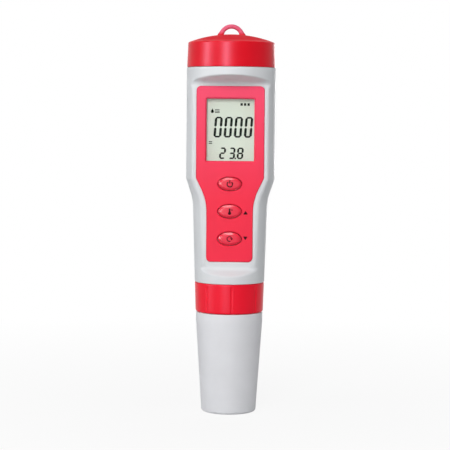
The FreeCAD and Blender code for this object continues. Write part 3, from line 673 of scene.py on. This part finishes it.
# Protective cap
class PEN_OT_protective_cap(bpy.types.Operator):
    """Build the tapered cap that the pen stands on"""

    bl_idname = "pen.protective_cap"
    bl_label = "Protective cap"

    def execute(self, context):
        top = cap_high.z
        rim_r = cap_high.x
        foot_r = 13.0
        cap_wall = 1.6
        cap_floor = 1.8
        bore = rim_r - cap_wall
        lead = 0.6
        band = top - 4.5
        section = rounded([
            (0, 0, 0), (foot_r, 0, 1.4), (rim_r, band, 12.0), (rim_r, top, 0.4),
            (bore + lead, top, 0.2), (bore, top - lead, 0), (bore, band, 12.0),
            (foot_r - cap_wall, cap_floor, 1.0), (0, cap_floor, 0)], closed=False, chords=8)
        mesh = lathe(divided(section, 2.5), even_angles(160))
        place("protective_cap_shell", mesh, "protective_cap", "pale_cap", ["protective_cap"])
        return {"FINISHED"}


# Collar
class PEN_OT_collar(bpy.types.Operator):
    """Build the grip collar with its shallow upright grooves"""

    bl_idname = "pen.collar"
    bl_label = "Collar"

    groove_count = 8
    groove_start = radians(5.0)
    groove_half = 0.62
    groove_top = 1.5

    def angles(self):
        """Angles that are close together at each groove."""
        result = []
        pitch = tau / self.groove_count
        near = [radians(a * 0.4) for a in range(-10, 11)]
        far = [radians(a) for a in range(6, 40, 2)]
        for step in range(self.groove_count):
            result += [self.groove_start + pitch * step + a for a in near + far]
        return result

    def groove(self, row, angle):
        """Radius of the outside with the nearest groove taken out."""
        radius, z = row[0], row[1]
        if radius < collar_r - 1.2:
            return radius
        pitch = tau / self.groove_count
        off = (angle - self.groove_start + pitch / 2) % pitch - pitch / 2
        across = off * radius / self.groove_half
        end = (collar_high.z - self.groove_top - z) / self.groove_half
        fade = min(1.0, max(0.0, end)) ** 0.5
        depth = bpy.context.scene.pen_sizes.groove_depth / MM
        return radius - depth * fade * max(0.0, 1 - across ** 2) ** 0.5

    def execute(self, context):
        z0, z1 = collar_low.z, collar_high.z
        low_r = collar_r - 0.45
        bore = collar_r - 2.0
        flange_r, low_bore = 12.2, 13.8
        flange_z = head_low.z + 9.7
        flange_low = flange_z - 2.0
        profile = rounded([
            (flange_r, flange_z, 0.2), (flange_r, flange_low, 0.2), (low_bore, flange_low, 0),
            (low_bore, z0, 0.2), (low_r, z0, 0.9), (collar_r, z1, 0.4), (bore, z1, 0.3),
            (bore, flange_z, 0)], chords=5)
        rows = divided(profile + profile[:1], 0.8)[:-1]
        mesh = lathe(rows, self.angles(), self.groove)
        place("collar_nut", mesh, "collar", "red_shell", ["collar"])
        return {"FINISHED"}


# Housing
foot_scoop_r, foot_sweep = 2.5, radians(60.0)
brow_scoop_r, brow_sweep = 3.2, radians(71.0)


def front_depth(z, inset):
    """Depth of the flat front and its two scoops at a height, moved in by inset."""
    def scoop(rise, radius, sweep):
        if rise <= 0:
            return 0.0
        reach = radius + inset
        if rise < reach * sin(sweep):
            return reach - sqrt(reach ** 2 - rise ** 2)
        return reach * (1 - cos(sweep)) + (rise - reach * sin(sweep)) * tan(sweep)

    out = scoop(land_z0 - z, foot_scoop_r, foot_sweep)
    out += scoop(z - land_z1, brow_scoop_r, brow_sweep)
    return land_depth - inset + out


def soft_min(a, b, soft):
    """Smaller of two lengths, rounded where they cross."""
    blend = min(1.0, max(0.0, 0.5 + 0.5 * (b - a) / soft))
    return b * (1 - blend) + a * blend - soft * blend * (1 - blend)


def barrel_rows(inset, z0, z1):
    """Rows of the barrel from the foot up, close together at the scoops."""
    corners = [
        (body_low_r - inset, body_z0, 0), (waist_r - inset, waist_z, 25.0 + inset),
        (body_r - inset, shoulder_z, max(2.5 - inset, 0.4)), (body_r - inset, body_z1, 0)]
    points = rounded(corners, closed=False, chords=10)

    def radius(z):
        for low, high in zip(points, points[1:]):
            if z <= high.y:
                return low.x + (high.x - low.x) * (z - low.y) / (high.y - low.y)
        return points[-1].x

    heights = [point.y for point in points] + [z0, z1]
    heights += [body_z0 + step * 2.5 for step in range(int((body_z1 - body_z0) / 2.5) + 1)]
    heights += [land_z0 - 5.4 + 0.18 * step for step in range(34)]
    heights += [land_z1 - 0.5 + 0.18 * step for step in range(38)]
    rows = []
    for z in sorted(heights):
        if z0 <= z <= z1 and (not rows or z - rows[-1][1] > 0.02):
            rows.append((radius(z), z, inset))
    return rows


def turned_rows(corners):
    """Rows of a plain turned part, with no flat front."""
    points = divided(rounded(corners, closed=False, chords=4), 3.0)
    return [(point.x, point.y, None) for point in points]


def panel_corners(grow):
    """Outline of the front panel, grown all round."""
    half = panel_high.x + grow
    half_low = sqrt(body_low_r ** 2 - land_depth ** 2) - 1.1 + grow
    z0, z1 = panel_low.z - grow, panel_high.z + grow
    knee = shoulder_z + 0.75
    right = [
        (half, z1, 2.1 + grow), (half, knee, 3.0), (half_low, waist_z, 25.0),
        (half_low, z0, 2.1 + grow)]
    return right + [(-x, z, radius) for x, z, radius in reversed(right)]


def window_outline(grow=0.0):
    lap = lens_lap - grow
    return rounded(rectangle(lens_high.x - lap, lens_low.z + lap, lens_high.z - lap, 0.7 + grow))


def key_outline(index, grow):
    low, high = key_boxes[index]
    return ellipse(
        high.x - key_flange + grow, (high.z - low.z) / 2 - key_flange + grow, key_zs[index])


class PEN_OT_housing(bpy.types.Operator):
    """Build the moulded barrel with its flat front, recess, neck and spigot"""

    bl_idname = "pen.housing"
    bl_label = "Housing"

    brow_fade = 3.0
    foot_fade = 1.6
    neck_wall = 1.9
    seat_depth = 3.1

    def outline_rows(self):
        bore = spigot_z0 + 10.7
        rows = turned_rows([
            (0, bore, 0), (11.8, bore, 0), (11.8, spigot_z0, 0.25), (spigot_r, spigot_z0, 0.4),
            (spigot_r, body_z0, 0), (body_low_r - 0.25, body_z0, 0)])
        rows += barrel_rows(0, body_z0 + 0.12, body_z1 - 0.4)
        bore_r = neck_r - self.neck_wall
        seat_z = neck_z1 - self.seat_depth
        rows += turned_rows([
            (body_r - 0.12, body_z1 - 0.12, 0), (body_r - 0.4, body_z1, 0), (neck_r, body_z1, 0.3),
            (neck_r, neck_z1, 0.5), (bore_r + 0.6, neck_z1, 0.2), (bore_r + 0.6, seat_z, 0),
            (bore_r, seat_z, 0), (bore_r, body_z1 - wall, 0)])
        inner = barrel_rows(wall, bore + 2.0, body_z1 - wall - 3.4)
        rows += [(radius, z, front_wall) for radius, z, _ in reversed(inner)]
        rows.append((0, bore + 2.0, None))
        return rows

    def angles(self):
        front = [radians(-80 + 0.8 * step) for step in range(200)]
        back = [radians(80 + 4 * step) for step in range(50)]
        return front + back

    def flattened(self, row, angle):
        """Radius where the flat front cuts the round body."""
        radius, z, inset = row
        facing = cos(angle)
        if inset is None or facing < 0.1:
            return radius
        aside = abs(radius * sin(angle))
        soft = bpy.context.scene.pen_sizes.edge_soft / MM
        soft += self.brow_fade * min(1.0, max(0.0, z - land_z1 + 1.0) / 2) * (aside / 15) ** 2
        soft += self.foot_fade * min(1.0, max(0.0, land_z0 - z + 1.0) / 2) * (aside / 10) ** 2
        return soft_min(radius, front_depth(z, inset) / facing, soft)

    def execute(self, context):
        blank = lathe(self.outline_rows(), self.angles(), self.flattened)
        recess_outline = rounded(panel_corners(0.1), chords=10)
        recess = prism([recess_outline], panel_back, panel_face + 4)
        openings = [window_outline()] + [key_outline(index, key_gap) for index in range(3)]
        through = prism(openings, 6.0, panel_face + 4)
        lens_outline = rounded(rectangle(
            lens_high.x + 0.05, lens_low.z - 0.05, lens_high.z + 0.05, 2.0))
        lens_room = prism([lens_outline], lens_back - 0.05, panel_face)
        mesh = carve(blank, [recess, through, lens_room])
        place("housing_shell", mesh, "meter", "pale_shell", ["housing"], sharp=28.0)
        return {"FINISHED"}


# Screw threads
def thread_mesh(radius, pitch, turns, z0, depth):
    """Helical ridge that runs out at both ends."""
    sections = []
    steps = int(turns * 72)
    for step in range(steps + 1):
        share = step / steps
        angle = tau * turns * share
        fade = min(1.0, share * turns * 6, (1 - share) * turns * 6)
        crest = radius - 0.1 + (depth + 0.1) * max(fade, 0.05)
        z = z0 + pitch * turns * share
        half_root, half_crest = pitch * 0.34, pitch * 0.12
        section = [(radius - 0.1, -half_root), (crest, -half_crest), (crest, half_crest),
                   (radius - 0.1, half_root)]
        sections.append([
            Vector((r * cos(angle), r * sin(angle), z + dz)) for r, dz in section])
    return swept(sections)


class PEN_OT_threads(bpy.types.Operator):
    """Build the screw threads on the spigot and the neck"""

    bl_idname = "pen.threads"
    bl_label = "Threads"

    def execute(self, context):
        depth = context.scene.pen_sizes.thread_depth / MM
        spigot = thread_mesh(spigot_r, spigot_pitch, 2.3, spigot_z0 + 1.1, depth)
        place("spigot_thread", spigot, "meter", "pale_shell")
        neck = thread_mesh(neck_r, neck_pitch, 2.6, body_z1 + 1.3, depth - 0.1)
        place("neck_thread", neck, "meter", "pale_shell")
        return {"FINISHED"}


# Front panel and keys
def triangle(x, z, half, rise):
    return rounded([(x - half, z - rise / 2, 0.15), (x + half, z - rise / 2, 0.15),
                    (x, z + rise / 2, 0.15)], chords=3)


def bar(x, z, half_w, half_h):
    return [
        Vector((x + a * half_w, z + b * half_h)) for a, b in ((-1, -1), (1, -1), (1, 1), (-1, 1))]


def ring_arc(x, z, radius, half, start, stop, steps=28):
    """Band along part of a circle, angles in degrees."""
    angles = [radians(start + (stop - start) * step / steps) for step in range(steps + 1)]
    return [
        Vector((x + r * cos(a), z + r * sin(a)))
        for r, order in ((radius + half, angles), (radius - half, angles[::-1])) for a in order]


class PEN_OT_front_panel(bpy.types.Operator):
    """Build the red front panel, the bezel of its window and the marks printed on it"""

    bl_idname = "pen.front_panel"
    bl_label = "Front panel"

    bezel = 0.45

    def execute(self, context):
        sizes = context.scene.pen_sizes
        outlines = [rounded(panel_corners(0), chords=14), window_outline()]
        outlines += [key_outline(index, key_gap) for index in range(3)]
        mesh = bevelled_plate(outlines, panel_back, panel_face, sizes.panel_round / MM)
        place("front_panel_plate", mesh, "meter", "red_panel", ["front_panel"])
        edges = ((0.02, panel_face - 0.25), (-self.bezel, lens_front), (0.02, lens_front))
        bezel = swept([
            [Vector((x, -out, z)) for x, z in window_outline(grow)] for grow, out in edges],
            closed=True)
        place("window_bezel", bezel, "meter", "red_panel", sharp=25.0)
        thick = sizes.mark_thick / MM
        beside, half, rise = 7.5, 1.05, 1.7
        up = triangle(beside, key_zs[1] - 0.5, half, rise)
        below = triangle(beside, key_zs[0] - 0.3, half, rise)
        down = [Vector((x, 2 * key_zs[0] - z)) for x, z in below]
        marks = prism([up, down], panel_face - 0.01, panel_face + thick)
        place("panel_marks", marks, "meter", "red_panel", finish="print")
        return {"FINISHED"}


class PEN_OT_keys(bpy.types.Operator):
    """Build the three bevelled oval keys and their marks"""

    bl_idname = "pen.keys"
    bl_label = "Keys"

    bevel = 1.0
    slope_rise = 0.75
    stem_r = 1.5
    flange_back, flange_front = 7.95, 8.75

    def key_mesh(self, index):
        low, high = key_boxes[index]
        half_w = high.x - key_flange
        half_h = (high.z - low.z) / 2 - key_flange
        top = -low.y
        stem, back, front = self.stem_r, self.flange_back, self.flange_front
        rings = [
            (stem, stem, -high.y), (stem, stem, back),
            (half_w + key_flange, half_h + key_flange, back),
            (half_w + key_flange, half_h + key_flange, front),
            (half_w, half_h, front), (half_w, half_h, panel_face)]
        profile = rounded([
            (0, panel_face, 0), (0, top - self.slope_rise, 0.12), (self.bevel, top - 0.02, 0.15),
            (2.2, top, 0)], closed=False, chords=5)
        rings += [(half_w - point.x, half_h - point.x, point.y) for point in profile]
        sections = [
            [Vector((x, -out, z)) for x, z in ellipse(a, b, key_zs[index], 72)]
            for a, b, out in rings]
        return swept(sections)

    def marks(self, index):
        """Plain sign of the key: power, thermometer, or a turning arrow."""
        z = key_zs[index]
        if index == 2:
            return [ring_arc(0, z - 0.1, 1.25, 0.26, 125, 415), bar(0, z + 1.05, 0.26, 0.75)]
        if index == 1:
            stem = rounded(rectangle(0.36, z - 0.5, z + 1.5, 0.35), chords=5)
            return [stem, ellipse(0.75, 0.75, z - 0.85, 32), bar(1.05, z + 1.1, 0.35, 0.12),
                    bar(1.05, z + 0.5, 0.35, 0.12)]
        head = [Vector((1.75, z + 0.35)), Vector((0.45, z + 0.35)), Vector((1.1, z - 0.6))]
        return [ring_arc(0, z, 1.1, 0.2, 30, 300), head]

    def execute(self, context):
        thick = context.scene.pen_sizes.mark_thick / MM
        for index, name in enumerate(key_names):
            body = name + "_key"
            place(body + "_cap", self.key_mesh(index), body, "red_panel", [body], "key", 25.0)
            top = -key_boxes[index][0].y
            mark = prism(self.marks(index), top - 0.03, top + thick)
            place(body + "_mark", mark, body, "red_panel", finish="print")
        return {"FINISHED"}


# Display
digit_segments = {"0": "abcdef", "2": "abged", "3": "abgcd", "8": "abcdefg"}
digit_slant = 0.08


def segment(start, stop, half, base):
    """Bar of a digit between two points, pointed at its ends and leaning right."""
    start, stop = Vector(start), Vector(stop)
    along = (stop - start).normalized() * half
    across = Vector((-along.y, along.x))
    outline = [start, start + along + across, stop - along + across,
               stop, stop - along - across, start + along - across]
    return [Vector((point.x + (point.y - base) * digit_slant, point.y)) for point in outline]


def digit(symbol, x, z, width, height, flat, upright):
    """Outlines of one digit whose lower left corner is at x and z."""
    left, right = x + upright, x + width - upright
    low, mid, high = z + flat, z + height / 2, z + height - flat
    gap = 0.1
    lines = {
        "a": ((left, high), (right, high), flat), "g": ((left, mid), (right, mid), flat),
        "d": ((left, low), (right, low), flat),
        "b": ((right, high), (right, mid + gap), upright),
        "c": ((right, mid - gap), (right, low), upright),
        "e": ((left, low), (left, mid - gap), upright),
        "f": ((left, mid + gap), (left, high), upright)}
    return [segment(*lines[name], z) for name in digit_segments[symbol]]


class PEN_OT_display(bpy.types.Operator):
    """Build the dark segments that the display shows"""

    bl_idname = "pen.display"
    bl_label = "Display"

    large_xs = (-8.1, -3.32, 1.46, 6.24)
    large_w, large_h = 3.75, 9.8
    small_xs = (-5.4, -0.95, 2.95)
    small_w, small_h = 3.05, 5.45

    def readings(self):
        """Four large zeros and a small temperature below."""
        large_z = lens_low.z + 12.7
        small_z = lens_low.z + 2.6
        outlines = []
        for x in self.large_xs:
            outlines += digit("0", x, large_z, self.large_w, self.large_h, 0.42, 0.58)
        for symbol, x in zip("238", self.small_xs):
            outlines += digit(symbol, x, small_z, self.small_w, self.small_h, 0.37, 0.47)
        outlines.append(bar(self.small_xs[2] - 0.55, small_z + 0.35, 0.36, 0.35))
        return outlines

    def icons(self):
        """Battery level, a drop with three lines at the units, and a mark at the mode."""
        battery_z = lens_low.z + 28.35
        drop_x, drop_z = -8.6, lens_low.z + 24.9
        mode_z = lens_low.z + 10.3
        battery = [bar(x, battery_z, 0.55, 0.62) for x in (5.15, 6.8, 8.45)]
        round_part = ring_arc(drop_x, drop_z, 0.36, 0.36, 150, 390, 24)[:25]
        drop = round_part + [Vector((drop_x, drop_z + 1.5))]
        lines = [bar(-6.3, drop_z + 0.2 + 0.65 * step, 1.1, 0.17) for step in (-1, 0, 1)]
        mode = [bar(-9.4, mode_z + 0.4, 0.8, 0.2), bar(-9.4, mode_z - 0.4, 0.8, 0.2)]
        return battery + [drop] + lines + mode

    def execute(self, context):
        face = -glass_low.y
        thick = context.scene.pen_sizes.mark_thick / MM
        mesh = prism(self.readings() + self.icons(), face - 0.02, face + thick)
        place("display_segments", mesh, "meter", "display_glass", finish="digit")
        return {"FINISHED"}


# Battery cap
class PEN_OT_battery_cap(bpy.types.Operator):
    """Build the domed screw cap and its lanyard loop"""

    bl_idname = "pen.battery_cap"
    bl_label = "Battery cap"

    height = 11.65
    rise = 3.9
    taper = 0.45
    loop_r = 5.2
    loop_wire = 1.05
    loop_turn = radians(12.0)

    def cap_rows(self):
        z0 = lid_low.z
        z1 = z0 + self.height
        apex = z1 + self.rise
        low_r = lid_high.x
        bore = low_r - 2.4
        top_r = low_r - self.taper
        ball = (top_r ** 2 + self.rise ** 2) / (2 * self.rise)
        ceiling = z0 + 9.95
        boss_r, boss_z = 3.6, ceiling - 0.6
        lean = 0.92 * asin(top_r / ball)
        rows = rounded([
            (0, boss_z, 0), (boss_r, boss_z, 0.2), (boss_r, ceiling, 0),
            (bore, ceiling, 0.3), (bore, z0, 0.3), (low_r, z0, 0.2), (top_r, z1, 0.7),
            (ball * sin(lean), apex - ball + ball * cos(lean), 0)],
            closed=False, chords=6)
        for step in range(1, 13):
            angle = lean * (1 - step / 12)
            rows.append(Vector((ball * sin(angle), apex - ball + ball * cos(angle))))
        return divided(rows, 2.0)

    def loop(self):
        centre = lid_high.z - self.loop_r - self.loop_wire - 0.01
        surface = lid_low.z + self.height + self.rise - 0.2
        sections = []
        for step in range(65):
            angle = radians(-12 + 204 * step / 64)
            out = Vector((cos(angle), 0, sin(angle)))
            middle = Vector((0, 0, centre)) + out * self.loop_r
            above = max(0.0, middle.z - surface)
            wire = self.loop_wire * (1 + 0.55 * exp(-above / 0.7))
            sections.append([
                middle + (out * cos(turn) + Vector((0, 1, 0)) * sin(turn)) * wire
                for turn in even_angles(28)])
        mesh = swept(sections)
        mesh.transform(Matrix.Rotation(self.loop_turn, 4, "Z"))
        return mesh

    def execute(self, context):
        shell = lathe(self.cap_rows(), even_angles(180))
        mesh = carve(shell, [self.loop()], "UNION")
        place("battery_cap_shell", mesh, "battery_cap", "red_shell", ["battery_cap"], sharp=40.0)
        return {"FINISHED"}


# Stage
def floor_material():
    """Pale floor that shows white apart from the pen's shadow."""
    finish = Finish("floor_pale", (0.56, 0.56, 0.56), 0.9)
    finish.vary_roughness(finish.cloud(60), 0.85, 0.95)
    white = finish.nodes.new("ShaderNodeEmission")
    away = finish.nodes.new("ShaderNodeVectorMath")
    away.operation = "LENGTH"
    finish.links.new(finish.place, away.inputs[0])
    share = finish.nodes.new("ShaderNodeMath")
    share.operation = "MULTIPLY"
    finish.links.new(rays(finish.material.node_tree, *seen_rays), share.inputs[0])
    finish.links.new(finish.ranged(away.outputs["Value"], 0.89, 1.0, 0.04, 0.35), share.inputs[1])
    finish.blend(share.outputs["Value"], white)
    return finish.material


def world_light(level):
    """White behind the pen, soft light of the given level on it."""
    world = bpy.data.worlds.new("studio")
    world.use_nodes = True
    nodes, links = world.node_tree.nodes, world.node_tree.links
    soft, white = nodes["Background"], nodes.new("ShaderNodeBackground")
    soft.inputs["Strength"].default_value = level
    for ground in (soft, white):
        ground.inputs["Color"].default_value = (1, 1, 1, 1)
    mix = nodes.new("ShaderNodeMixShader")
    links.new(rays(world.node_tree, *seen_rays), mix.inputs["Fac"])
    links.new(soft.outputs["Background"], mix.inputs[1])
    links.new(white.outputs["Background"], mix.inputs[2])
    links.new(mix.outputs["Shader"], nodes["World Output"].inputs["Surface"])
    return world


def lamp(name, level, azimuth, elevation, distance, size, diffuse=True, gloss=True):
    """Area lamp aimed at the pen, its level what a surface facing it gets."""
    light = bpy.data.lights.new(name, "AREA")
    light.shape = "RECTANGLE"
    light.size, light.size_y = size
    light.energy = level * (pi * distance) ** 2
    turn, rise = radians(azimuth), radians(elevation)
    away = Vector((
        sin(turn) * cos(rise), -cos(turn) * cos(rise), sin(rise)))
    holder = new_object(name, light)
    holder.location = Vector((0, 0, 0.1)) + away * distance
    holder.rotation_euler = away.to_track_quat("Z", "Y").to_euler()
    holder.visible_diffuse = diffuse
    holder.visible_glossy = gloss


class PEN_OT_stage(bpy.types.Operator):
    """Build the floor, the lights and the camera"""

    bl_idname = "pen.stage"
    bl_label = "Stage"

    lens_mm = 130.7
    azimuth = radians(1.0)
    axis_shift = -0.00237
    roll = radians(0.5)

    def execute(self, context):
        scene = context.scene
        stage = scene.pen_stage
        half = 1.5
        corners = [(-half, -half, 0), (half, -half, 0), (half, half, 0), (-half, half, 0)]
        floor_mesh = mesh_of(corners, [(0, 1, 2, 3)])
        floor_mesh.materials.append(floor_material())
        floor = new_object("floor", floor_mesh)
        scene.world = world_light(stage.room_level)
        # Azimuth and elevation in degrees, distance and size in metres
        lamp("front", stage.front_level, -10, 34, 0.9, (0.3, 0.3))
        lamp("left", stage.left_level, -58, 14, 0.8, (0.35, 0.35))
        lamp("right", stage.left_level * 0.42, 66, 10, 0.8, (0.35, 0.35), gloss=False)
        lamp("high", stage.high_level, -5, 64, 0.8, (0.4, 0.12))
        lamp("front_strip", stage.strip_level, -12.5, 7, 0.9, (0.14, 0.5), diffuse=False)
        lamp("left_strip", stage.strip_level * 0.8, -66, 10, 0.8, (0.11, 0.5), diffuse=False)
        lamp("high_strip", stage.strip_level * 0.5, -20, 68, 0.8, (0.5, 0.14), diffuse=False)
        lamp("back", stage.back_level, 172, 3, 0.9, (0.5, 0.25))
        camera = bpy.data.cameras.new("camera")
        camera.lens = self.lens_mm
        camera.sensor_width = 36.0
        camera.clip_start = 0.05
        holder = new_object("camera", camera)
        aside, ahead = sin(self.azimuth), cos(self.azimuth)
        start = Vector((aside * stage.distance, -ahead * stage.distance, stage.height))
        direction = Vector((self.axis_shift, 0, stage.aim)) - start
        turn = direction.to_track_quat("-Z", "Y").to_matrix().to_4x4()
        holder.matrix_world = (
            Matrix.Translation(start) @ turn @ Matrix.Rotation(self.roll, 4, "Z"))
        scene.camera = holder
        scene.view_settings.view_transform = "Standard"
        return {"FINISHED"}


operators = (
    PEN_OT_finishes, PEN_OT_protective_cap, PEN_OT_collar, PEN_OT_housing, PEN_OT_threads,
    PEN_OT_front_panel, PEN_OT_keys, PEN_OT_display, PEN_OT_battery_cap, PEN_OT_stage)


class VIEW3D_PT_pen(bpy.types.Panel):
    """Lists the pen's operators and settings"""

    bl_label = "Test pen"
    bl_space_type = "VIEW_3D"
    bl_region_type = "UI"
    bl_category = "Test pen"

    def draw(self, context):
        for group in (context.scene.pen_sizes, context.scene.pen_colours, context.scene.pen_stage):
            for name in group.__annotations__:
                self.layout.prop(group, name)
        for operator in operators:
            self.layout.operator(operator.bl_idname)


groups = (PenSizes, PenColours, PenStage)


def register():
    for item in groups + operators + (VIEW3D_PT_pen,):
        bpy.utils.register_class(item)
    bpy.types.Scene.pen_sizes = PointerProperty(type=PenSizes)
    bpy.types.Scene.pen_colours = PointerProperty(type=PenColours)
    bpy.types.Scene.pen_stage = PointerProperty(type=PenStage)


def unregister():
    del bpy.types.Scene.pen_sizes, bpy.types.Scene.pen_colours, bpy.types.Scene.pen_stage
    for item in reversed(groups + operators + (VIEW3D_PT_pen,)):
        bpy.utils.unregister_class(item)


def main():
    register()
    for operator in operators:
        area, name = operator.bl_idname.split(".")
        getattr(getattr(bpy.ops, area), name)()


if __name__ == "__main__":
    main()
